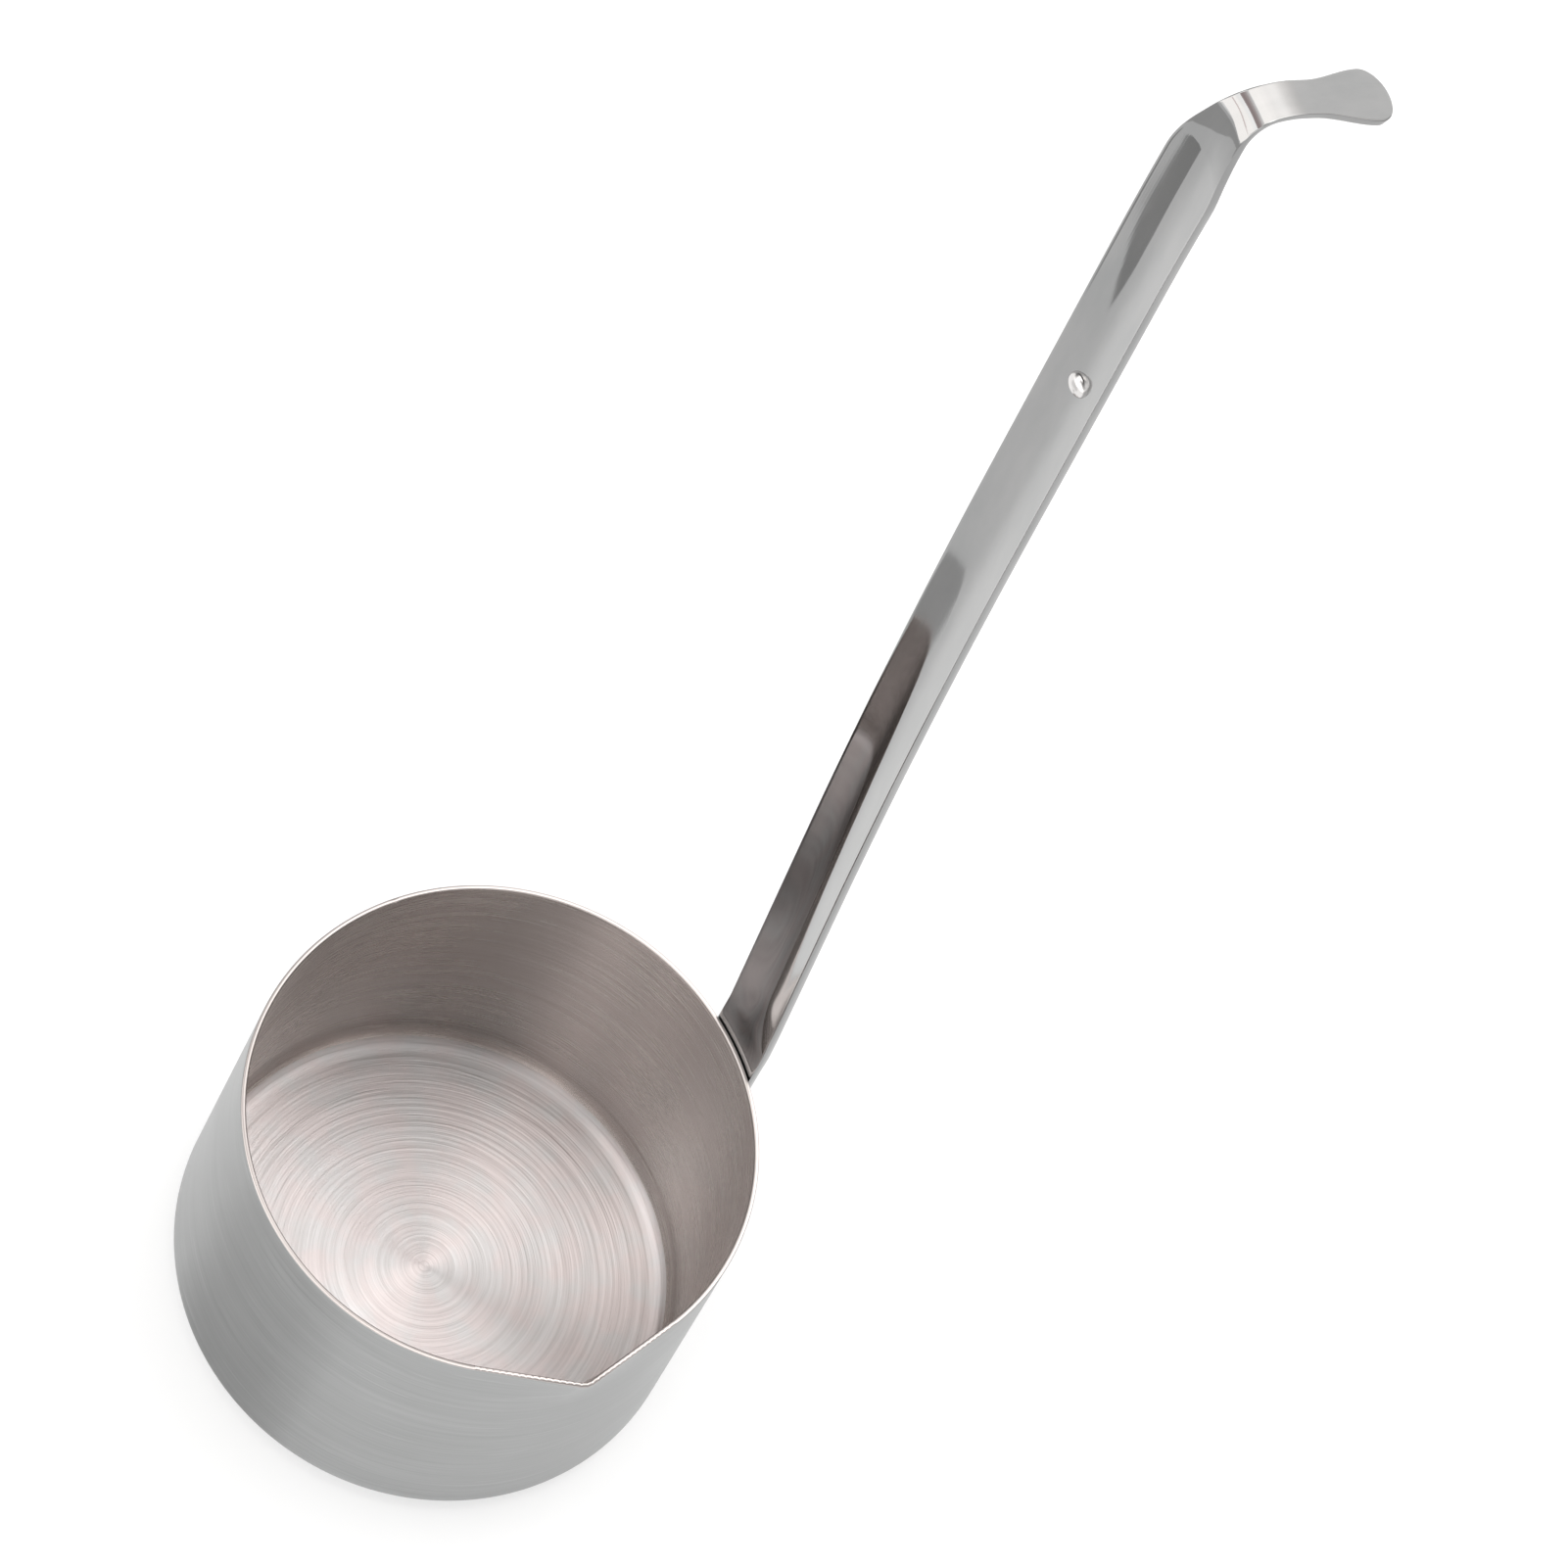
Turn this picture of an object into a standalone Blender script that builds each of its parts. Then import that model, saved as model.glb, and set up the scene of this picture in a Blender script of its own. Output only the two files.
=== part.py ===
"""Wine ladle: a drawn sheet-steel cup with a pressed pouring lip, a strip handle that is
pressed to a shallow gutter and bent to a hook, and a stop stud riveted through the handle.

Frame: the origin is the middle of the cup's flat underside, +Z runs up the cup's axis and
+X points at the handle. Lengths are metres and angles are degrees.
"""
import math

import bmesh
import bpy
from mathutils import Matrix, Vector

# Cup
CUP_DIAMETER = 0.0800          # outside
CUP_HEIGHT = 0.0557            # underside to rim
CUP_WALL = 0.0008
BASE_CORNER_RADIUS = 0.0045    # outside
RIM_ROUNDING = 0.00018

# Pouring lip, pressed out of the wall on the left of someone who holds the handle
LIP_AZIMUTH = -96.7            # from the handle, anticlockwise seen from above
LIP_REACH = 0.0032             # how far its tip stands out of the rim's circle
LIP_TIP_RADIUS = 0.0030
LIP_DEPTH = 0.0170             # how far down the wall it fades out

# Handle strip
STRIP_WIDTH = 0.0114
STRIP_THICKNESS = 0.0011
STRIP_EDGE_ROUNDING = 0.0002
SEAT_GAP = 0.0003              # between the welded foot and the cup's wall
SEAT_LENGTH = 0.0270           # foot of the strip, below the rim
SEAT_RISE = 0.0064             # from the rim to the start of the lean
LEAN_LOW = 3.8                 # lean towards the cup's axis, above the rim
LEAN_HIGH = 1.25               # lean towards the cup's axis, on the upper run
LEAN_TOP = -0.4                # lean towards the cup's axis, at the shoulder
ROOT_BEND_LENGTH = 0.0030
LOWER_RUN = 0.0609
BOW_LENGTH = 0.1341            # long soft bend between the two straight runs
UPPER_RUN = 0.0722
UPPER_BEND_LENGTH = 0.0260     # slack bend that ends at the shoulder, where the strip narrows
SHOULDER_RUN = 0.0031          # straight stretch between the shoulder and the hook

# The strip's front face is hollow across its width. On the foot it fits round the cup's wall.
GUTTER_DEPTH = 0.0013          # of the middle, behind the two edges
GUTTER_RISE = 0.0008           # from the rim to where the hollow starts to deepen
GUTTER_DEEPENING = 0.0180      # length over which it gets to its full depth
GUTTER_END = 0.0090            # past the shoulder, where the hollow has run out
GUTTER_RUNOUT = 0.0200         # length over which it runs out

# Hook at the top of the strip: a slack bend, the tight one over the top, and a softer one
ENTRY_TURN = 20.85
ENTRY_RADIUS = 0.0238
HOOK_RADIUS = 0.0058
EXIT_TURN = 21.7
EXIT_RADIUS = 0.0138
TONGUE_DROP = 29.0             # how far the tongue points below level
TONGUE_LENGTH = 0.0185
NECK_WIDTH = 0.0053
NECK_TAPER_START = 0.0026      # before the shoulder
NECK_TAPER_LENGTH = 0.0230
TONGUE_WIDTH = 0.0082
TONGUE_FLARE_START = 0.0024    # past the end of the hook's last bend
TONGUE_FLARE_LENGTH = 0.0124

# Stop stud
STUD_HEIGHT = 0.2374           # above the rim, along the strip
STUD_HEAD_DIAMETER = 0.0039
STUD_HEAD_HEIGHT = 0.0013
STUD_SHANK_DIAMETER = 0.0020
STUD_TAIL_DIAMETER = 0.0034
STUD_TAIL_HEIGHT = 0.0006
FIT_GAP = 0.0003               # all round the shank, and behind the strip
HEAD_GAP = 0.0005              # under the head, which spans the hollow

# Facets
LIP_STEPS = 24
ROUND_STEPS = 84
LIP_RINGS = 8
CORNER_STEPS = 5
STRIP_COLUMNS = 6
END_ROWS = 4
STUD_STEPS = 24
STUD_ARC_STEPS = 6

CUP_RADIUS = CUP_DIAMETER / 2
SEAT_RADIUS = CUP_RADIUS + SEAT_GAP
SEAT_EDGE = math.sqrt(SEAT_RADIUS ** 2 - STRIP_WIDTH ** 2 / 4)
SEAT_DEPTH = SEAT_RADIUS - SEAT_EDGE


def clear_scene():
    for obj in list(bpy.data.objects):
        bpy.data.objects.remove(obj, do_unlink=True)


def make_collection(name):
    collection = bpy.data.collections.new(name)
    bpy.context.scene.collection.children.link(collection)
    return collection


def steel(name, color, roughness):
    material = bpy.data.materials.new(name)
    material.use_nodes = True
    shader = material.node_tree.nodes["Principled BSDF"]
    shader.inputs["Base Color"].default_value = (*color, 1.0)
    shader.inputs["Metallic"].default_value = 1.0
    shader.inputs["Roughness"].default_value = roughness
    return material


def add_object(name, bm, collection, material=None):
    mesh = bpy.data.meshes.new(name)
    bm.to_mesh(mesh)
    bm.free()
    mesh.shade_smooth()
    mesh.set_sharp_from_angle(angle=math.radians(35))
    obj = bpy.data.objects.new(name, mesh)
    collection.objects.link(obj)
    if material:
        mesh.materials.append(material)
    return obj


def add_shell(obj, thickness):
    """Give a sheet its thickness on the side away from its normals."""
    shell = obj.modifiers.new("thickness", "SOLIDIFY")
    shell.thickness = thickness
    shell.offset = -1.0
    shell.use_even_offset = True
    return shell


def round_edges(obj, width, segments):
    bevel = obj.modifiers.new("edges", "BEVEL")
    bevel.width = width
    bevel.segments = segments
    bevel.limit_method = "ANGLE"
    bevel.angle_limit = math.radians(50)


def ease(t):
    """Smooth step from 0 to 1."""
    t = min(max(t, 0.0), 1.0)
    return t * t * (3.0 - 2.0 * t)


# The lip's outline is two straight flanks that leave the rim's circle at a tangent
# and meet in a rounded tip.
LIP_TIP = CUP_RADIUS + LIP_REACH
LIP_TIP_CENTRE = LIP_TIP - LIP_TIP_RADIUS
LIP_HALF_ANGLE = math.acos((CUP_RADIUS - LIP_TIP_RADIUS) / LIP_TIP_CENTRE)
LIP_TIP_HALF_ANGLE = math.atan2(
    LIP_TIP_RADIUS * math.sin(LIP_HALF_ANGLE),
    LIP_TIP_CENTRE + LIP_TIP_RADIUS * math.cos(LIP_HALF_ANGLE))


def lip_bulge(angle):
    """How far the rim stands out of its circle, at an angle from the lip's tip."""
    angle = abs(angle)
    if angle >= LIP_HALF_ANGLE:
        return 0.0
    if angle >= LIP_TIP_HALF_ANGLE:
        return CUP_RADIUS / math.cos(LIP_HALF_ANGLE - angle) - CUP_RADIUS
    across = LIP_TIP_CENTRE * math.sin(angle)
    along = LIP_TIP_CENTRE * math.cos(angle)
    return along + math.sqrt(LIP_TIP_RADIUS ** 2 - across ** 2) - CUP_RADIUS


def ring_angles():
    """Angles from the lip's tip, once round the cup, closer together across the lip."""
    half = LIP_HALF_ANGLE
    across = [-half + 2 * half * i / LIP_STEPS for i in range(LIP_STEPS)]
    rest = 2 * math.pi - 2 * half
    return across + [half + rest * i / ROUND_STEPS for i in range(ROUND_STEPS)]


def cup_profile():
    """Radius, height and lip share of each ring, from the rim down to the flat base."""
    profile = []
    for i in range(LIP_RINGS + 1):
        down = i / LIP_RINGS
        profile.append((CUP_RADIUS, CUP_HEIGHT - LIP_DEPTH * down, (1.0 - down) ** 2))
    corner = BASE_CORNER_RADIUS
    for i in range(CORNER_STEPS + 1):
        turn = math.radians(90) * i / CORNER_STEPS
        radius = CUP_RADIUS - corner + corner * math.cos(turn)
        profile.append((radius, corner - corner * math.sin(turn), 0.0))
    return profile


def make_cup(collection):
    """Sheet cup: rings from the lipped rim down to the round base, then the wall inwards."""
    bm = bmesh.new()
    turn = math.radians(LIP_AZIMUTH)
    angles = ring_angles()
    rings = []
    for radius, height, share in cup_profile():
        ring = []
        for angle in angles:
            reach = radius + share * lip_bulge(angle)
            ring.append(bm.verts.new((
                reach * math.cos(turn + angle), reach * math.sin(turn + angle), height)))
        rings.append(ring)
    for upper, lower in zip(rings, rings[1:]):
        for i in range(len(angles)):
            j = (i + 1) % len(angles)
            bm.faces.new((upper[j], upper[i], lower[i], lower[j]))
    middle = bm.verts.new((0.0, 0.0, 0.0))
    for i in range(len(angles)):
        bm.faces.new((rings[-1][(i + 1) % len(angles)], rings[-1][i], middle))
    material = steel("satin_steel_cup", (0.60, 0.59, 0.57), 0.34)
    cup = add_object("cup", bm, collection, material)
    add_shell(cup, CUP_WALL)
    round_edges(cup, RIM_ROUNDING, 1)
    return cup


HOOK_TURN = 90.0 + LEAN_TOP + TONGUE_DROP - ENTRY_TURN - EXIT_TURN

# The strip's run from the foot to the tongue's tip: each piece's length, how far it turns
# away from the cup's axis, and its number of rows of faces.
RUN = [
    (SEAT_LENGTH + SEAT_RISE, 0.0, 10),
    (ROOT_BEND_LENGTH, -LEAN_LOW, 3),
    (LOWER_RUN, 0.0, 14),
    (BOW_LENGTH, LEAN_LOW - LEAN_HIGH, 16),
    (UPPER_RUN, 0.0, 5),
    (UPPER_BEND_LENGTH, LEAN_HIGH - LEAN_TOP, 13),
    (SHOULDER_RUN, 0.0, 3),
    (ENTRY_RADIUS * math.radians(ENTRY_TURN), ENTRY_TURN, 7),
    (HOOK_RADIUS * math.radians(HOOK_TURN), HOOK_TURN, 12),
    (EXIT_RADIUS * math.radians(EXIT_TURN), EXIT_TURN, 4),
    (TONGUE_LENGTH, 0.0, 10),
]
STRIP_LENGTH = sum(length for length, _, _ in RUN)
SHOULDER_AT = sum(length for length, _, _ in RUN[:6])
TONGUE_AT = STRIP_LENGTH - TONGUE_LENGTH


def strip_point(along):
    """Place and heading of the plane of the two front edges, at a length from the foot's end."""
    x, z = SEAT_EDGE, CUP_HEIGHT - SEAT_LENGTH
    heading = 0.0
    for length, turn, _ in RUN:
        step = min(along, length)
        swing = math.radians(turn) * step / length
        if turn:
            radius = length / math.radians(turn)
            x += radius * (math.cos(heading) - math.cos(heading + swing))
            z += radius * (math.sin(heading + swing) - math.sin(heading))
        else:
            x += step * math.sin(heading)
            z += step * math.cos(heading)
        heading += swing
        along -= step
        if along <= 0.0:
            break
    return x, z, heading


def strip_half_width(along):
    """Full width up to the shoulder, in to the neck over the hook, out again on the tongue."""
    taper = (along - SHOULDER_AT + NECK_TAPER_START) / NECK_TAPER_LENGTH
    width = STRIP_WIDTH - (STRIP_WIDTH - NECK_WIDTH) * ease(taper)
    flare = (along - TONGUE_AT - TONGUE_FLARE_START) / TONGUE_FLARE_LENGTH
    return (width + (TONGUE_WIDTH - NECK_WIDTH) * ease(flare)) / 2


def strip_rows():
    """Lengths from the foot's end of the rows between the two round ends."""
    foot = strip_half_width(0.0)
    tip = STRIP_LENGTH - TONGUE_WIDTH / 2
    rows = []
    start = 0.0
    for length, _, count in RUN:
        rows += [start + length * (i + 1) / count for i in range(count)]
        start += length
    return [foot] + [row for row in rows if foot < row < tip] + [tip]


def round_end(along, way):
    """Rows that carry the strip on into a round end, towards the foot or the tip."""
    radius = strip_half_width(along)
    rows = []
    for i in range(END_ROWS):
        far = (i + 1) / END_ROWS
        row = []
        for j in range(STRIP_COLUMNS + 1):
            side = 2 * j / STRIP_COLUMNS - 1
            reach = radius * far * math.sqrt(1.0 - side ** 2 / 2)
            row.append((along + way * reach, radius * side * math.sqrt(1.0 - far ** 2 / 2)))
        rows.append(row)
    return rows


def straight_row(along):
    half = strip_half_width(along)
    return [(along, half * (2 * i / STRIP_COLUMNS - 1)) for i in range(STRIP_COLUMNS + 1)]


def strip_grid():
    """Length and offset of every point of the strip's front face, row by row."""
    rows = strip_rows()
    grid = list(reversed(round_end(rows[0], -1)))
    grid += [straight_row(along) for along in rows]
    return grid + round_end(rows[-1], 1)


def gutter_depth(along):
    """Depth of the hollow: the wall's curve on the foot, then deeper, then out at the shoulder."""
    rise = ease((along - SEAT_LENGTH - GUTTER_RISE) / GUTTER_DEEPENING)
    runout = ease((SHOULDER_AT + GUTTER_END - along) / GUTTER_RUNOUT)
    return (SEAT_DEPTH + (GUTTER_DEPTH - SEAT_DEPTH) * rise) * runout


def strip_surface(along, across):
    """Point on the strip's front face, which is an arc across the strip."""
    x, z, heading = strip_point(along)
    depth = gutter_depth(along)
    back = 0.0
    if depth > 0.0:
        radius = (STRIP_WIDTH ** 2 / 4 + depth ** 2) / (2 * depth)
        back = depth - radius + math.sqrt(radius ** 2 - across ** 2)
    return Vector((x + back * math.cos(heading), across, z - back * math.sin(heading)))


def make_handle(collection, cutters):
    """Strip handle: a blank laid along its bent run, given its thickness and its stud hole."""
    bm = bmesh.new()
    rows = []
    for row in strip_grid():
        rows.append([bm.verts.new(strip_surface(*point)) for point in row])
    for lower, upper in zip(rows, rows[1:]):
        for i in range(len(lower) - 1):
            bm.faces.new((lower[i], upper[i], upper[i + 1], lower[i + 1]))
    material = steel("polished_steel_strip", (0.66, 0.65, 0.64), 0.12)
    handle = add_object("handle", bm, collection, material)
    add_shell(handle, STRIP_THICKNESS)
    round_edges(handle, STRIP_EDGE_ROUNDING, 2)

    hole = bmesh.new()
    radius = STUD_SHANK_DIAMETER / 2 + FIT_GAP
    bmesh.ops.create_cone(hole, cap_ends=True, segments=STUD_STEPS, radius1=radius,
                          radius2=radius, depth=STRIP_THICKNESS * 6)
    cutter = add_object("stud_hole_cutter", hole, cutters)
    cutter.matrix_world = stud_matrix()
    cutter.hide_render = True
    cutter.display_type = "WIRE"
    cut = handle.modifiers.new("stud_hole", "BOOLEAN")
    cut.operation = "DIFFERENCE"
    cut.object = cutter
    return handle


def stud_matrix():
    """Stud's own +Z points out of the strip's front face, from the bottom of the hollow."""
    along = SEAT_LENGTH + STUD_HEIGHT
    heading = strip_point(along)[2]
    out = Vector((-math.cos(heading), 0.0, math.sin(heading)))
    up = Vector((math.sin(heading), 0.0, math.cos(heading)))
    side = up.cross(out)
    turn = Matrix((side, up, out)).transposed().to_4x4()
    return Matrix.Translation(strip_surface(along, 0.0)) @ turn


def dome(radius, height, base, rising):
    """Quarter outline of a dome, from its top to its edge, or the other way down."""
    points = []
    for i in range(STUD_ARC_STEPS + 1):
        angle = math.radians(90) * i / STUD_ARC_STEPS
        points.append((radius * math.sin(angle), base + height * math.cos(angle)))
    if rising:
        return points
    return [(r, 2 * base - h) for r, h in reversed(points)]


def make_stud(collection):
    """Stop stud: a turned rivet with a domed head in front and a flat tail behind."""
    front = HEAD_GAP
    back = -STRIP_THICKNESS - FIT_GAP
    shank = STUD_SHANK_DIAMETER / 2
    outline = dome(STUD_HEAD_DIAMETER / 2, STUD_HEAD_HEIGHT - HEAD_GAP, front, True)
    outline += [(shank, front), (shank, back)]
    outline += dome(STUD_TAIL_DIAMETER / 2, STUD_TAIL_HEIGHT, back, False)
    bm = bmesh.new()
    verts = [bm.verts.new((r, 0.0, h)) for r, h in outline]
    for upper, lower in zip(verts, verts[1:]):
        bm.edges.new((upper, lower))
    material = steel("polished_steel_stud", (0.70, 0.69, 0.68), 0.15)
    stud = add_object("stop_stud", bm, collection, material)
    screw = stud.modifiers.new("turn", "SCREW")
    screw.axis = "Z"
    screw.steps = STUD_STEPS
    screw.render_steps = STUD_STEPS
    screw.use_merge_vertices = True
    screw.merge_threshold = 0.00001
    stud.matrix_world = stud_matrix()
    return stud


def main():
    clear_scene()
    ladle = make_collection("wine_ladle")
    cutters = make_collection("cutters")
    make_cup(ladle)
    make_handle(ladle, cutters)
    make_stud(ladle)


main()
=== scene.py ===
# %% [markdown]
# # A wine ladle in stainless steel
#
# A wine ladle lifts a serving out of a punch bowl or a narrow barrel. It is three pieces of
# stainless steel: a deep-drawn cup with a pouring lip, a tall strip handle that ends in a hook,
# and a small riveted stud that stops the ladle on a rack or a bowl's rim.
#
# Each cell adds one piece or one finish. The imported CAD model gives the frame: every length
# below is in metres, the origin is the middle of the cup's underside, +Z runs up the cup's axis
# and +X points at the handle.

# %% Load the frame
import math

import bmesh
import bpy
from mathutils import Matrix, Vector


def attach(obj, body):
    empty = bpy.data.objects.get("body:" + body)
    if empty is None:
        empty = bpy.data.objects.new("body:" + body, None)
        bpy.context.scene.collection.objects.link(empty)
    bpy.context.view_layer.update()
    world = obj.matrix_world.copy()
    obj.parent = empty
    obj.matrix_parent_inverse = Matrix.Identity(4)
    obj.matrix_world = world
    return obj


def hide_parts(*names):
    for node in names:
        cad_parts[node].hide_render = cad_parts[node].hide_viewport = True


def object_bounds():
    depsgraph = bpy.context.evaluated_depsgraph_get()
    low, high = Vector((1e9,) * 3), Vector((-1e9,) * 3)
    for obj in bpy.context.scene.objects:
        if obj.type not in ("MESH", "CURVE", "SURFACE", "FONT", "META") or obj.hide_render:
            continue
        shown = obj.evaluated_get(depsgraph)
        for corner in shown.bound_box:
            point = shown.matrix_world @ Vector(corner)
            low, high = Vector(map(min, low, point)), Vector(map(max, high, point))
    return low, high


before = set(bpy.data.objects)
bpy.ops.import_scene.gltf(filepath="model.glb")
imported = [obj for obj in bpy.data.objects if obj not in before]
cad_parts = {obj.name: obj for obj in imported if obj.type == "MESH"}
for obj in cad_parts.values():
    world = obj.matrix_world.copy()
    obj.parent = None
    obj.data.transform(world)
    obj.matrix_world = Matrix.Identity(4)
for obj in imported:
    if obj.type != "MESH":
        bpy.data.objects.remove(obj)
cad_low, cad_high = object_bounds()
print("CAD box in mm:", [round(1000 * side, 1) for side in cad_high - cad_low])

# %% [markdown]
# ## The camera
#
# The photograph looks steeply down into the cup with a long lens, from opposite the handle and 38
# degrees round towards the lip, and the camera is rolled so that the handle leans to the right. A
# camera can be placed by eye or worked out from known circles. The rim and the foot of the wall are
# both 80 mm circles, so fitting their two ellipses gives the direction, the roll and the distance.

# %% Camera at the photograph's angle
CAMERA_AZIMUTH = 218.024
CAMERA_ELEVATION = 61.753
CAMERA_ROLL = 29.871
CAMERA_LENS = 304.81  # mm, on a sensor 36 mm wide
CAMERA_PLACE = Vector((-0.692927, -0.555971, 1.848815))


def camera_axes(azimuth, elevation, roll):
    """Right, up and back directions of a camera that looks at the object from an azimuth."""
    back = Vector((math.cos(azimuth) * math.cos(elevation),
                   math.sin(azimuth) * math.cos(elevation), math.sin(elevation)))
    level = Vector((-math.sin(azimuth), math.cos(azimuth), 0.0))
    upright = back.cross(level)
    right = level * math.cos(roll) + upright * math.sin(roll)
    up = upright * math.cos(roll) - level * math.sin(roll)
    return right, up, back


camera_data = bpy.data.cameras.new("photo_camera")
camera_data.lens = CAMERA_LENS
camera_data.sensor_width = 36.0
camera_data.clip_start = 0.05
camera_data.clip_end = 50.0
camera = bpy.data.objects.new("photo_camera", camera_data)
bpy.context.scene.collection.objects.link(camera)
axes = camera_axes(math.radians(CAMERA_AZIMUTH), math.radians(CAMERA_ELEVATION),
                   math.radians(CAMERA_ROLL))
camera.matrix_world = Matrix.Translation(CAMERA_PLACE) @ Matrix(axes).transposed().to_4x4()
bpy.context.scene.camera = camera
print("Camera distance in m:", round(CAMERA_PLACE.length, 3))

# %% [markdown]
# ## Working by hand, in code
#
# The pieces are modelled with the operators that the menus use. An operator acts on whatever is
# selected, so helpers come first: one starts a piece with nothing else selected, one selects
# vertices by their place, and one turns a finished sheet into a closed solid with rounded edges.

# %% Helpers for modelling
SMOOTH_ANGLE = math.radians(32)
EDGE_ANGLE = math.radians(50)
SAME_PLACE = 1e-6


def start_clean():
    """Object mode with nothing selected."""
    if bpy.context.mode != "OBJECT":
        bpy.ops.object.mode_set(mode="OBJECT")
    bpy.ops.object.select_all(action="DESELECT")


def select_where(obj, test):
    """In edit mode, select the vertices whose place passes the test, and nothing else."""
    bpy.ops.mesh.select_mode(type="VERT")
    bpy.ops.mesh.select_all(action="DESELECT")
    mesh = bmesh.from_edit_mesh(obj.data)
    for vert in mesh.verts:
        vert.select = test(vert.co)
    mesh.select_flush_mode()
    bmesh.update_edit_mesh(obj.data)


def ease(t):
    """Smooth step from 0 to 1."""
    t = min(max(t, 0.0), 1.0)
    return t * t * (3.0 - 2.0 * t)


def apply_all(obj):
    """Apply the object's modifiers in order."""
    start_clean()
    obj.select_set(True)
    bpy.context.view_layer.objects.active = obj
    for modifier in list(obj.modifiers):
        bpy.ops.object.modifier_apply(modifier=modifier.name)


def solid(obj, thickness, edge_width, edge_segments):
    """Turn a sheet into a closed solid with rounded edges and even reflections."""
    shell = obj.modifiers.new("thickness", "SOLIDIFY")
    shell.thickness = thickness
    shell.offset = -1.0
    shell.use_even_offset = True
    edges = obj.modifiers.new("edges", "BEVEL")
    edges.width = edge_width
    edges.segments = edge_segments
    edges.limit_method = "ANGLE"
    edges.angle_limit = EDGE_ANGLE
    edges.harden_normals = True
    apply_all(obj)
    print(obj.name, "has", len(obj.data.polygons), "faces")


# %% [markdown]
# ## The cup
#
# The cup is a steel disc drawn through a die until it stands 56 mm deep, so its wall, its rounded
# corner and its flat floor are one sheet 0.8 mm thick. It could be cut out of a cylinder, but a
# drawn cup is best made as it grows: a disc, whose edge is extruded round the corner and up the
# wall, ring by ring.

# %% Disc, corner and wall
CUP_RADIUS = 0.0400
CUP_HEIGHT = 0.0557
CORNER_RADIUS = 0.0045
LIP_DEPTH = 0.0170
NEAR_AXIS = 0.01
CUP_COLUMNS = 256
CORNER_STEPS = 10
WALL_RINGS = 8
LIP_RINGS = 18


def extrude_ring(radius, height, last_radius, last_height):
    """Extrude the selected ring to a new radius and height."""
    bpy.ops.mesh.extrude_edges_move(
        TRANSFORM_OT_translate={"value": (0.0, 0.0, height - last_height)})
    scale = radius / last_radius
    bpy.ops.transform.resize(value=(scale, scale, 1.0), center_override=(0.0, 0.0, height))


start_clean()
flat_radius = CUP_RADIUS - CORNER_RADIUS
bpy.ops.mesh.primitive_circle_add(vertices=CUP_COLUMNS, radius=flat_radius, fill_type="TRIFAN")
cup = bpy.context.object
cup.name = "ladle_cup"
cup.data.name = "ladle_cup"
rings = []
for step in range(1, CORNER_STEPS + 1):
    turn = math.radians(90) * step / CORNER_STEPS
    rings.append((flat_radius + CORNER_RADIUS * math.sin(turn),
                  CORNER_RADIUS * (1.0 - math.cos(turn))))
lip_foot = CUP_HEIGHT - LIP_DEPTH
for step in range(1, WALL_RINGS + 1):
    rings.append((CUP_RADIUS, CORNER_RADIUS + (lip_foot - CORNER_RADIUS) * step / WALL_RINGS))
for step in range(1, LIP_RINGS + 1):
    rings.append((CUP_RADIUS, lip_foot + LIP_DEPTH * step / LIP_RINGS))
bpy.ops.object.mode_set(mode="EDIT")
select_where(cup, lambda place: place.length > NEAR_AXIS)
last = (flat_radius, 0.0)
for ring in rings:
    extrude_ring(*ring, *last)
    last = ring
bpy.ops.mesh.select_all(action="SELECT")
bpy.ops.mesh.normals_make_consistent(inside=False)
bpy.ops.object.mode_set(mode="OBJECT")
print("Cup rings:", len(rings))

# %% [markdown]
# ## The pouring lip
#
# The lip is pressed out of the finished wall by a small punch: seen from above, two straight
# flanks leave the rim's circle and meet in a tip of 3 mm radius, and lower down the wall the bulge
# fades out. Pulling one vertex with proportional editing comes close, but the flanks then bow.
# Here the columns under the punch are first divided more finely, and each vertex is moved out by
# the rule of the two flanks.

# %% Press the lip
LIP_AZIMUTH = math.radians(-96.7)
LIP_REACH = 0.0032
LIP_TIP_RADIUS = 0.0030
LIP_MARGIN = 0.03
LIP_CUTS = 3

lip_tip_centre = CUP_RADIUS + LIP_REACH - LIP_TIP_RADIUS
lip_half = math.acos((CUP_RADIUS - LIP_TIP_RADIUS) / lip_tip_centre)
lip_tip_half = math.atan2(LIP_TIP_RADIUS * math.sin(lip_half),
                          lip_tip_centre + LIP_TIP_RADIUS * math.cos(lip_half))


def from_lip(place):
    """Angle between a point's azimuth and the lip's tip, from 0 to half a turn."""
    angle = math.atan2(place.y, place.x) - LIP_AZIMUTH
    return abs((angle + math.pi) % (2 * math.pi) - math.pi)


def lip_bulge(angle):
    """How far the rim stands out of its circle, at an angle from the lip's tip."""
    if angle >= lip_half:
        return 0.0
    if angle >= lip_tip_half:
        return CUP_RADIUS / math.cos(lip_half - angle) - CUP_RADIUS
    across = lip_tip_centre * math.sin(angle)
    along = lip_tip_centre * math.cos(angle)
    return along + math.sqrt(LIP_TIP_RADIUS ** 2 - across ** 2) - CUP_RADIUS


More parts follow.
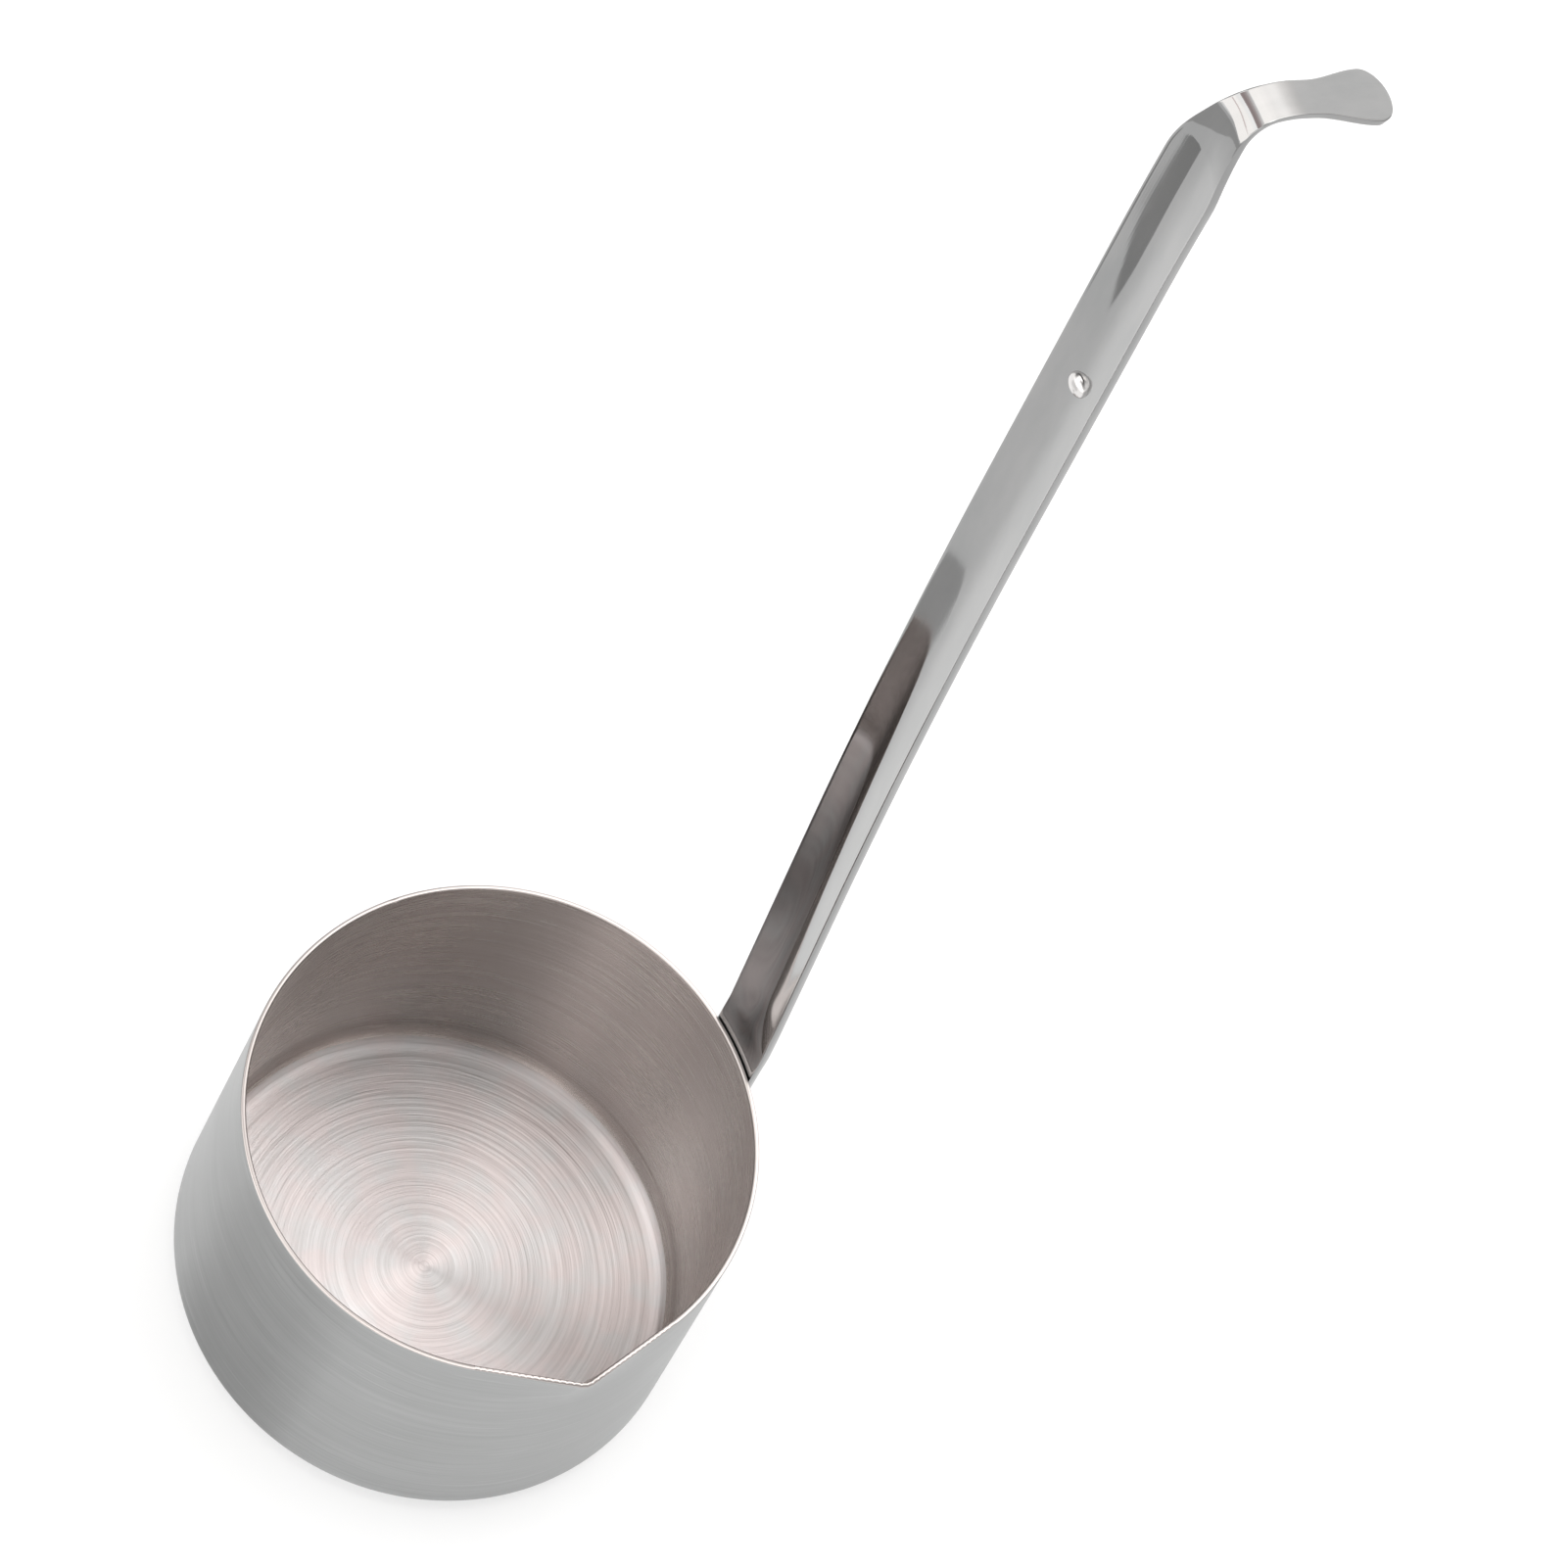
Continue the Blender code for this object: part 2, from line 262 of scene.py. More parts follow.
bpy.ops.object.mode_set(mode="EDIT")
bpy.ops.mesh.select_mode(type="EDGE")
bpy.ops.mesh.select_all(action="DESELECT")
mesh = bmesh.from_edit_mesh(cup.data)
for edge in mesh.edges:
    ends = [vert.co for vert in edge.verts]
    level = abs(ends[0].z - ends[1].z) < SAME_PLACE
    under_punch = all(end.xy.length > NEAR_AXIS and from_lip(end) < lip_half + LIP_MARGIN
                      for end in ends)
    edge.select = level and under_punch
bmesh.update_edit_mesh(cup.data)
bpy.ops.mesh.subdivide(number_cuts=LIP_CUTS)
bpy.ops.object.mode_set(mode="OBJECT")
moved = 0
for vert in cup.data.vertices:
    down = (CUP_HEIGHT - vert.co.z) / LIP_DEPTH
    if down >= 1.0:
        continue
    out = vert.co.xy.normalized() * (1.0 - down) ** 2 * lip_bulge(from_lip(vert.co))
    vert.co.x += out.x
    vert.co.y += out.y
    moved += out.length > 0.0
print("Vertices moved by the lip's punch:", moved)

# %% [markdown]
# The sheet now gets its thickness on the inside, and the cut rim is broken with a fine stone, so
# its two edges are rounded by a quarter of a millimetre. That rounding catches the light and draws
# the thin light line round the mouth, helped by the rim's painted highlight further down.

# %% Wall thickness and rim
CUP_WALL = 0.0008
RIM_ROUNDING = 0.00024
EDGE_STEPS = 3

solid(cup, CUP_WALL, RIM_ROUNDING, EDGE_STEPS)
bpy.ops.object.shade_smooth_by_angle(angle=SMOOTH_ANGLE)
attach(cup, "root")
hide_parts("cup")

# %% [markdown]
# ## The handle
#
# The handle starts as a flat blank cut from 1.1 mm sheet: full width for most of its length, a
# narrow neck, and a flared tongue with a round end. Then it is pressed to a shallow gutter, which
# is what stiffens so thin a strip, wrapped round the cup's wall at its foot, and bent over at the
# top. The same order is used here. The blank is extruded row by row, each row as wide as the
# strip is there, and one rule then carries every vertex of the flat blank to its place in the
# bent gutter, because Blender's own bend tool needs a window.

# %% Measures of the strip
STRIP_WIDTH = 0.0114
STRIP_THICKNESS = 0.0011
STRIP_EDGE_ROUNDING = 0.00016
SEAT_GAP = 0.00014
SEAT_RADIUS = CUP_RADIUS + SEAT_GAP
SEAT_LENGTH = 0.0270
SEAT_EDGE = math.sqrt(SEAT_RADIUS ** 2 - STRIP_WIDTH ** 2 / 4)
SEAT_RISE = 0.0064
LEAN_LOW = 3.8
LEAN_HIGH = 1.25
LEAN_TOP = -0.4
ROOT_BEND_LENGTH = 0.0030
LOWER_RUN = 0.0609
BOW_LENGTH = 0.1341
UPPER_RUN = 0.0722
UPPER_BEND_LENGTH = 0.0260
SHOULDER_RUN = 0.0031
ENTRY_TURN = 20.85
ENTRY_RADIUS = 0.0238
HOOK_RADIUS = 0.0058
EXIT_TURN = 21.7
EXIT_RADIUS = 0.0138
TONGUE_DROP = 29.0
HOOK_TURN = 90.0 + LEAN_TOP + TONGUE_DROP - ENTRY_TURN - EXIT_TURN
TONGUE_LENGTH = 0.0185
TONGUE_WIDTH = 0.0082
NECK_WIDTH = 0.0053
NECK_TAPER_START = 0.0026
NECK_TAPER_LENGTH = 0.0230
FLARE_START = 0.0024
FLARE_LENGTH = 0.0124
GUTTER_DEPTH = 0.0016
GUTTER_SOFTNESS = 0.30
GUTTER_RISE = 0.0008
GUTTER_DEEPENING = 0.0180
GUTTER_END = 0.0180
GUTTER_RUNOUT = 0.0140
STRIP_COLUMNS = 24
END_ROWS = 7
CLOSEST_ROWS = 0.0004

# Each stretch of the strip: its length, how many degrees it turns away from the cup, its rows.
RUN = [
    (SEAT_LENGTH + SEAT_RISE, 0.0, 18),
    (ROOT_BEND_LENGTH, -LEAN_LOW, 6),
    (LOWER_RUN, 0.0, 26),
    (BOW_LENGTH, LEAN_LOW - LEAN_HIGH, 40),
    (UPPER_RUN, 0.0, 20),
    (UPPER_BEND_LENGTH, LEAN_HIGH - LEAN_TOP, 26),
    (SHOULDER_RUN, 0.0, 6),
    (ENTRY_RADIUS * math.radians(ENTRY_TURN), ENTRY_TURN, 16),
    (HOOK_RADIUS * math.radians(HOOK_TURN), HOOK_TURN, 26),
    (EXIT_RADIUS * math.radians(EXIT_TURN), EXIT_TURN, 8),
    (TONGUE_LENGTH, 0.0, 18),
]
STRIP_LENGTH = sum(length for length, _, _ in RUN)
STRETCHES_BELOW_SHOULDER = 6
SHOULDER_AT = sum(length for length, _, _ in RUN[:STRETCHES_BELOW_SHOULDER])
print("Blank length in mm:", round(1000 * STRIP_LENGTH, 1))

# %% Rules of the blank and of its bending


def strip_half_width(along):
    """Full width up to the shoulder, in to the neck over the hook, out again on the tongue."""
    taper = (along - SHOULDER_AT + NECK_TAPER_START) / NECK_TAPER_LENGTH
    width = STRIP_WIDTH - (STRIP_WIDTH - NECK_WIDTH) * ease(taper)
    flare = (along - STRIP_LENGTH + TONGUE_LENGTH - FLARE_START) / FLARE_LENGTH
    return (width + (TONGUE_WIDTH - NECK_WIDTH) * ease(flare)) / 2


def strip_point(along):
    """Place and heading of the plane of the two front edges, at a length from the foot's end."""
    x, z = SEAT_EDGE, CUP_HEIGHT - SEAT_LENGTH
    heading = 0.0
    for length, turn, _ in RUN:
        step = min(along, length)
        swing = math.radians(turn) * step / length
        if turn:
            radius = length / math.radians(turn)
            x += radius * (math.cos(heading) - math.cos(heading + swing))
            z += radius * (math.sin(heading + swing) - math.sin(heading))
        else:
            x += step * math.sin(heading)
            z += step * math.cos(heading)
        heading += swing
        along -= step
        if along <= 0.0:
            break
    return x, z, heading


def hollow(along, across):
    """How far the front face lies behind its two edges.

    The wall's curve on the foot, then a soft V that gets deeper, then flat in the hook's first bend.
    """
    rise = ease((along - SEAT_LENGTH - GUTTER_RISE) / GUTTER_DEEPENING)
    runout = ease((SHOULDER_AT + GUTTER_END - along) / GUTTER_RUNOUT)
    seat = math.sqrt(SEAT_RADIUS ** 2 - across ** 2) - SEAT_EDGE
    share = 2 * across / STRIP_WIDTH
    flank = math.hypot(share, GUTTER_SOFTNESS) - GUTTER_SOFTNESS
    edge = math.hypot(1.0, GUTTER_SOFTNESS) - GUTTER_SOFTNESS
    return (seat + (GUTTER_DEPTH * (1.0 - flank / edge) - seat) * rise) * runout


def strip_surface(along, across):
    """Point on the strip's hollow front face."""
    x, z, heading = strip_point(along)
    back = hollow(along, across)
    return Vector((x + back * math.cos(heading), across, z - back * math.sin(heading)))


def rounded_off(along, across):
    """Moves a point of the square blank's end into its round end."""
    foot = strip_half_width(0.0)
    tip = STRIP_LENGTH - TONGUE_WIDTH / 2
    if foot < along < tip:
        return along, across
    start, way = (foot, -1) if along <= foot else (tip, 1)
    radius = strip_half_width(start)
    far = abs(along - start) / radius
    side = across / radius
    reach = radius * far * math.sqrt(max(1.0 - side ** 2 / 2, 0.0))
    return start + way * reach, radius * side * math.sqrt(max(1.0 - far ** 2 / 2, 0.0))


# %% Blank, row by row
foot_row = strip_half_width(0.0)
tip_row = STRIP_LENGTH - TONGUE_WIDTH / 2
rows = [foot_row * step / END_ROWS for step in range(END_ROWS + 1)]
start = 0.0
for length, _, count in RUN:
    for step in range(1, count + 1):
        row = start + length * step / count
        if foot_row + CLOSEST_ROWS < row < tip_row - CLOSEST_ROWS:
            rows.append(row)
    start += length
rows += [tip_row + (STRIP_LENGTH - tip_row) * step / END_ROWS for step in range(END_ROWS + 1)]

start_clean()
bpy.ops.mesh.primitive_grid_add(x_subdivisions=1, y_subdivisions=STRIP_COLUMNS, size=1.0,
                                rotation=(0.0, math.radians(-90), 0.0))
handle = bpy.context.object
handle.name = "ladle_handle"
handle.data.name = "ladle_handle"
bpy.ops.transform.resize(value=(1.0, STRIP_WIDTH, rows[1]))
bpy.ops.transform.translate(value=(0.0, 0.0, rows[1] / 2))
bpy.ops.object.transform_apply(location=True, rotation=True, scale=True)
bpy.ops.object.mode_set(mode="EDIT")
select_where(handle, lambda place: place.z > rows[1] - SAME_PLACE)


def blank_half_width(row):
    """Half the blank's width at a row. Both ends are still square."""
    return strip_half_width(min(max(row, foot_row), tip_row))


for before, row in zip(rows[1:], rows[2:]):
    bpy.ops.mesh.extrude_edges_move(TRANSFORM_OT_translate={"value": (0.0, 0.0, row - before)})
    scale = blank_half_width(row) / blank_half_width(before)
    if scale != 1.0:
        bpy.ops.transform.resize(value=(1.0, scale, 1.0), center_override=(0.0, 0.0, row))
bpy.ops.object.mode_set(mode="OBJECT")
print("Rows across the blank:", len(rows))

# %% Gutter and bends
for vert in handle.data.vertices:
    vert.co = strip_surface(*rounded_off(vert.co.z, vert.co.y))
bpy.ops.object.mode_set(mode="EDIT")
bpy.ops.mesh.select_all(action="SELECT")
bpy.ops.mesh.normals_make_consistent(inside=False)
mesh = bmesh.from_edit_mesh(handle.data)
middle_face = min(mesh.faces, key=lambda face: abs(face.calc_center_median().z - cad_high.z / 2))
if middle_face.normal.x > 0.0:
    bpy.ops.mesh.flip_normals()
bpy.ops.object.mode_set(mode="OBJECT")
solid(handle, STRIP_THICKNESS, STRIP_EDGE_ROUNDING, EDGE_STEPS)
bpy.ops.object.shade_smooth_by_angle(angle=SMOOTH_ANGLE)
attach(handle, "root")
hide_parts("handle")

# %% [markdown]
# ## The stop stud
#
# The stud is a small rivet turned from rod. Its domed head stands on the front of the handle and
# its tail is hammered flat behind. A turned piece can be spun from an outline. A rivet this small
# is quicker to grow from its shank: both ends are extruded outwards and drawn in step by step.

# %% Stud
STUD_HEIGHT = 0.2367
STUD_HEAD_RADIUS = 0.00195
STUD_HEAD_HEIGHT = 0.0013
STUD_SHANK_RADIUS = 0.0010
STUD_TAIL_RADIUS = 0.0017
STUD_TAIL_HEIGHT = 0.0006
STUD_HEAD_SEAT = 0.00010
STUD_SMOOTH_ANGLE = math.radians(40)
STUD_COLUMNS = 48
DOME_STEPS = 9
DOME_TURN = 88.0


def grow_dome(obj, end, way, radius, height):
    """Extrude the shank's end outwards to a dome and close it in a pole."""
    select_where(obj, lambda place: abs(place.z - end) < SAME_PLACE)
    bpy.ops.mesh.extrude_region_move()
    scale = radius / STUD_SHANK_RADIUS
    bpy.ops.transform.resize(value=(scale, scale, 1.0), center_override=(0.0, 0.0, end))
    last, level = radius, end
    for step in range(1, DOME_STEPS + 1):
        turn = math.radians(DOME_TURN) * step / DOME_STEPS
        lift = end + way * height * math.sin(turn)
        bpy.ops.mesh.extrude_region_move(
            TRANSFORM_OT_translate={"value": (0.0, 0.0, lift - level)})
        scale = radius * math.cos(turn) / last
        bpy.ops.transform.resize(value=(scale, scale, 1.0), center_override=(0.0, 0.0, lift))
        last, level = radius * math.cos(turn), lift
    bpy.ops.mesh.merge(type="CENTER")


start_clean()
stud_back = -STRIP_THICKNESS
shank_length = STUD_HEAD_SEAT - stud_back
bpy.ops.mesh.primitive_cylinder_add(vertices=STUD_COLUMNS, radius=STUD_SHANK_RADIUS,
                                    depth=shank_length,
                                    location=(0.0, 0.0, (STUD_HEAD_SEAT + stud_back) / 2))
stud = bpy.context.object
stud.name = "ladle_stop_stud"
stud.data.name = "ladle_stop_stud"
bpy.ops.object.transform_apply(location=True, rotation=True, scale=True)
bpy.ops.object.mode_set(mode="EDIT")
grow_dome(stud, STUD_HEAD_SEAT, 1, STUD_HEAD_RADIUS, STUD_HEAD_HEIGHT - STUD_HEAD_SEAT)
grow_dome(stud, stud_back, -1, STUD_TAIL_RADIUS, STUD_TAIL_HEIGHT)
bpy.ops.mesh.select_all(action="SELECT")
bpy.ops.mesh.normals_make_consistent(inside=False)
bpy.ops.object.mode_set(mode="OBJECT")
stud_along = SEAT_LENGTH + STUD_HEIGHT
stud_lean = strip_point(stud_along)[2]
stud_out = Vector((-math.cos(stud_lean), 0.0, math.sin(stud_lean)))
stud_up = Vector((math.sin(stud_lean), 0.0, math.cos(stud_lean)))
turned = Matrix((stud_up.cross(stud_out), stud_up, stud_out)).transposed().to_4x4()
stud.matrix_world = Matrix.Translation(strip_surface(stud_along, 0.0)) @ turned
bpy.ops.object.transform_apply(location=True, rotation=True, scale=True)
bpy.ops.object.shade_smooth_by_angle(angle=STUD_SMOOTH_ANGLE)
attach(stud, "root")
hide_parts("stop_stud")
print("Stud stands at z in mm:", round(1000 * strip_surface(stud_along, 0.0).z, 1))

# %% [markdown]
# ## The finishes
#
# All three pieces are stainless steel, which is a neutral, slightly warm grey metal. What differs
# is how each surface was left. Besides that, the inside wall, the floor and the rim get paler,
# warmer greys than the outside: painted light, for the light that falls on the rim and bounces
# round inside the cup. The greys were matched to the photograph together with the lights further
# down, which are strong, so most of them are darker than clean steel is in a table of metals. One
# helper adds a node with its settings and links, and one turns the sRGB colours, which are easy to
# read off a sample, into the linear numbers that a shader works with.

# %% Helpers for materials


def linear(code):
    """Linear RGBA from an sRGB hex colour."""
    parts = [int(code[i:i + 2], 16) / 255 for i in (1, 3, 5)]
    return [p / 12.92 if p <= 0.04045 else ((p + 0.055) / 1.055) ** 2.4 for p in parts] + [1.0]


def add_node(tree, kind, settings=(), links=()):
    """Add a node. Settings are (property or input, value) and links are (input, output)."""
    made = tree.nodes.new(kind)
    for name, value in settings:
        if isinstance(name, str) and hasattr(made, name):
            setattr(made, name, value)
        else:
            made.inputs[name].default_value = value
    for name, output in links:
        tree.links.new(output, made.inputs[name])
    return made


def new_finish(name):
    """A material with its node tree and its Principled shader."""
    material = bpy.data.materials.new(name)
    material.use_nodes = True
    shader = material.node_tree.nodes["Principled BSDF"]
    shader.inputs["Metallic"].default_value = 1.0
    return material, material.node_tree, shader


FULL_RANGE = (0.0, 1.0)
EVEN_GRAIN = (0.3, 0.7)


def streaks(tree, vector, grain, detail, roughness, shown):
    """Noise stretched into streaks, from 0 to 1.

    The grain is the size of one streak in metres along x, y and z. What is shown is the range of
    the noise that becomes 0 to 1, so a narrow range gives hard streaks and a high one rare ones.
    """
    stretched = add_node(tree, "ShaderNodeMapping", [("Scale", [1.0 / size for size in grain])],
                         [("Vector", vector)])
    noise = add_node(tree, "ShaderNodeTexNoise",
                     [("Scale", 1.0), ("Detail", detail), ("Roughness", roughness)],
                     [("Vector", stretched.outputs["Vector"])])
    return add_node(tree, "ShaderNodeMapRange", [("From Min", shown[0]), ("From Max", shown[1])],
                    [("Value", noise.outputs["Fac"])]).outputs["Result"]


print("Mid grey in linear:", round(linear("#808080")[0], 4))

# %% [markdown]
# ### Brushed wall, outside
#
# The outside is satin-brushed stainless steel. The cup turned on a lathe while a wheel of abrasive
# fleece ran along it, so its fine scratches run round the wall and end after a few centimetres.
# To the eye that is a soft, even grey with hair-fine level lines: the scratches blur a reflection
# up and down much more than sideways, which the shader's anisotropy gives when its tangent points
# across the scratches. Real ones are 0.02 to 0.05 mm apart; they are drawn 0.45 mm apart, the
# finest that a picture of this size can show.

# %% Brushed wall
WALL_LINE = 0.00045
WALL_LINE_LENGTH = 0.022
WALL_LINE_DEPTH = 0.00002
WALL_PATCH = (0.0182, 0.0182, 0.025)
SCRATCH_LENGTH = 0.0167


def brushed_wall(name, dark, light, roughness, anisotropy, bump):
    """Satin steel with level lines round the cup's axis."""
    material, tree, shader = new_finish(name)
    place = add_node(tree, "ShaderNodeTexCoord").outputs["Object"]
    line = (WALL_LINE_LENGTH, WALL_LINE_LENGTH, WALL_LINE)
    band = (2 * WALL_LINE_LENGTH, 2 * WALL_LINE_LENGTH, 5 * WALL_LINE)
    fine = streaks(tree, place, line, 2.0, 0.6, EVEN_GRAIN)
    bands = streaks(tree, place, band, 2.0, 0.5, EVEN_GRAIN)
    patches = streaks(tree, place, WALL_PATCH, 2.0, 0.5, EVEN_GRAIN)
    scratch = streaks(tree, place, (SCRATCH_LENGTH, SCRATCH_LENGTH, WALL_LINE / 0.7), 1.0, 0.5,
                      (0.67, 0.73))
    lines = add_node(tree, "ShaderNodeMix", [(0, 0.3)], [(2, fine), (3, bands)]).outputs[0]
    scored = add_node(tree, "ShaderNodeMath", [("operation", "MULTIPLY_ADD"), (1, 0.7)],
                      [(0, scratch), (2, lines)]).outputs[0]
    color = add_node(tree, "ShaderNodeMix",
                     [("data_type", "RGBA"), (6, linear(dark)), (7, linear(light))], [(0, scored)])
    tree.links.new(color.outputs[2], shader.inputs["Base Color"])
    brushed = add_node(tree, "ShaderNodeMapRange",
                       [("To Min", roughness - 0.05), ("To Max", roughness + 0.01)],
                       [("Value", fine)]).outputs["Result"]
    worn = add_node(tree, "ShaderNodeMath", [("operation", "MULTIPLY_ADD"), (1, 0.04)],
                    [(0, patches), (2, brushed)])
    tree.links.new(worn.outputs[0], shader.inputs["Roughness"])
    shader.inputs["Anisotropic"].default_value = anisotropy
    upright = add_node(tree, "ShaderNodeCombineXYZ", [("Z", 1.0)])
    tree.links.new(upright.outputs["Vector"], shader.inputs["Tangent"])
    depth = add_node(tree, "ShaderNodeMath", [("operation", "MULTIPLY_ADD"), (1, -0.8)],
                     [(0, scratch), (2, lines)])
    raised = add_node(tree, "ShaderNodeBump", [("Strength", bump), ("Distance", WALL_LINE_DEPTH)],
                      [("Height", depth.outputs[0])])
    tree.links.new(raised.outputs["Normal"], shader.inputs["Normal"])
    return material


outside = brushed_wall("satin_brushed_stainless_steel_wall", "#9A9B9B", "#ABACAC", 0.33, 0.75, 0.5)
print("Outside wall:", outside.name)

# %% [markdown]
# ### Brushed wall, inside
#
# The inside was brushed in the same way, before the lip was pressed. Light reaches the camera from
# in there only after two or three bounces between the walls, each of which takes away a little
# more blue than red, so the inside looks darker and warmer than the outside. Its greys below are
# painted paler and warmer than the outside's, as painted bounce light.

# %% Inside wall
# Paler, warmer greys than the outside's: painted bounce light.
inside = brushed_wall("satin_brushed_stainless_steel_inside_painted_bounce_light", "#C1B9B6", "#D2CCC8", 0.26, 1.0, 0.5)
print("Inside wall:", inside.name)

# %% [markdown]
# ### Turned floor
#
# The floor was faced on the lathe, which leaves rings round the cup's axis. Such rings throw a
# lamp's reflection out into fans that run from the middle to the edge, like those on a record, so
# here the tangent points outwards from the axis. Real rings are 0.1 mm apart. They are drawn
# 0.6 mm apart, the finest that a picture of this size can show, with a few deeper ones between.

# %% Turned floor
RING_SPACING = 0.0006
RING_ARC = 0.0222
BROAD_RING_ARC = 0.0333
DEEP_RING_SPACING = 0.0035
DEEP_RING_ARC = 0.0833
RING_DEPTH = 0.00004
MOTTLE = 0.00625

floor_steel, tree, shader = new_finish("turned_stainless_steel_floor_painted_bounce_light")
place = add_node(tree, "ShaderNodeTexCoord").outputs["Object"]
flat = add_node(tree, "ShaderNodeVectorMath", [("operation", "MULTIPLY"), (1, (1.0, 1.0, 0.0))],
                [(0, place)]).outputs["Vector"]
radius = add_node(tree, "ShaderNodeVectorMath", [("operation", "LENGTH")],
                  [(0, flat)]).outputs["Value"]
split = add_node(tree, "ShaderNodeSeparateXYZ", [], [("Vector", place)])
ring_place = add_node(tree, "ShaderNodeCombineXYZ", [],
                      [("X", split.outputs["X"]), ("Y", split.outputs["Y"]), ("Z", radius)])
ring_place = ring_place.outputs["Vector"]
fine = streaks(tree, ring_place, (RING_ARC, RING_ARC, RING_SPACING), 2.0, 0.6, FULL_RANGE)
broad = streaks(tree, ring_place, (BROAD_RING_ARC, BROAD_RING_ARC, 4 * RING_SPACING), 2.0, 0.5,
                EVEN_GRAIN)
deep = streaks(tree, ring_place, (DEEP_RING_ARC, DEEP_RING_ARC, DEEP_RING_SPACING), 4.0, 0.75,
               (0.60, 0.68))
mottle = streaks(tree, place, (MOTTLE, MOTTLE, MOTTLE), 3.0, 0.6, (0.42, 0.62))
sharp = add_node(tree, "ShaderNodeMapRange", [("From Min", 0.34), ("From Max", 0.66)],
                 [("Value", fine)]).outputs["Result"]
lines = add_node(tree, "ShaderNodeMix", [(0, 0.2)], [(2, sharp), (3, broad)]).outputs[0]
# The floor's greys are painted paler and pinker than the outside's, for the light bounced round
# inside the cup; mixing the warm and the cool pair at random is a tone that varies.
warm = add_node(tree, "ShaderNodeMix",
                [("data_type", "RGBA"), (6, linear("#AEA6A5")), (7, linear("#CBC3C2"))],
                [(0, lines)]).outputs[2]
cool = add_node(tree, "ShaderNodeMix",
                [("data_type", "RGBA"), (6, linear("#AAA7A6")), (7, linear("#C7C5C5"))],
                [(0, lines)]).outputs[2]
color = add_node(tree, "ShaderNodeMix", [("data_type", "RGBA")], [(0, mottle), (6, warm), (7, cool)])
tree.links.new(color.outputs[2], shader.inputs["Base Color"])
faced = add_node(tree, "ShaderNodeMapRange",
                 [("From Min", 0.3), ("From Max", 0.7), ("To Min", 0.28), ("To Max", 0.34)],
                 [("Value", fine)])
tree.links.new(faced.outputs["Result"], shader.inputs["Roughness"])
shader.inputs["Anisotropic"].default_value = 1.0
outward = add_node(tree, "ShaderNodeVectorMath", [("operation", "NORMALIZE")], [(0, flat)])
tree.links.new(outward.outputs["Vector"], shader.inputs["Tangent"])
turned = add_node(tree, "ShaderNodeMath", [("operation", "MULTIPLY_ADD"), (1, 0.7)],
                  [(0, deep), (2, lines)])
raised = add_node(tree, "ShaderNodeBump", [("Strength", 0.8), ("Distance", RING_DEPTH)],
                  [("Height", turned.outputs[0])])
tree.links.new(raised.outputs["Normal"], shader.inputs["Normal"])
print("Cup floor:", floor_steel.name)

# %% [markdown]
# ### Rim
#
# The rim is the sheet's cut edge, rounded over and buffed by hand. Unlike the walls it blurs a
# reflection almost evenly, and it faces the light, so the eye sees a fine pale line round the
# cup's mouth. Its greys are painted paler and warmer than the outside's, a painted highlight along
# that line.

# %% Rim
# Paler, warmer greys than the outside's: a painted highlight along the rim.
rim = brushed_wall("buffed_stainless_steel_rim_painted_highlight", "#B2ABA8", "#C0B9B6", 0.30, 0.2, 0.3)
print("Rim:", rim.name)

# %% [markdown]
# The four finishes go on by the place of each face: the floor lies level inside, the inside wall
# faces the axis, the rim lies on top, and the rest is outside.

# %% Finishes on the cup
CUP_FINISHES = [outside, inside, floor_steel, rim]
FLOOR_TOP = 0.01
LOW_PART = 0.02
RIM_BAND = 0.0006


def cup_finish(face):
    """The finish of one face of the cup, from its place and its normal."""
    outward_share = Vector((face.center.x, face.center.y, 0.0)).normalized().dot(face.normal)
    if face.normal.z > 0.7 and face.center.z < FLOOR_TOP:
        return floor_steel
    if face.normal.z > 0.35 and face.center.z > CUP_HEIGHT - RIM_BAND:
        return rim
    if outward_share < -0.2 or (face.normal.z > 0.2 and face.center.z < LOW_PART):
        return inside
    return outside


for finish in CUP_FINISHES:
    cup.data.materials.append(finish)
for face in cup.data.polygons:
    face.material_index = CUP_FINISHES.index(cup_finish(face))
for index, finish in enumerate(CUP_FINISHES):
    print(finish.name, "faces:", sum(face.material_index == index for face in cup.data.polygons))

# %% [markdown]
# ### Polished strip and stud
#
# The handle was buffed to a near mirror with the wheel running along it. What is left are faint
# lengthwise hairlines and a slight haze, so its reflections are sharp but a little streaky. The
# hairlines are drawn 0.3 mm apart, ten times coarser than real ones. The stud is paler and has a
# duller polish, as a small rivet that was tumbled smooth and not held to the wheel.

# %% Polished steel
HAIRLINE = 0.0003
HAIRLINE_GRAIN = (0.00333, HAIRLINE, 0.0714)
HAIRLINE_DEPTH = 0.00001
HAZE_GRAIN = (0.0111, 0.00455, 0.0222)


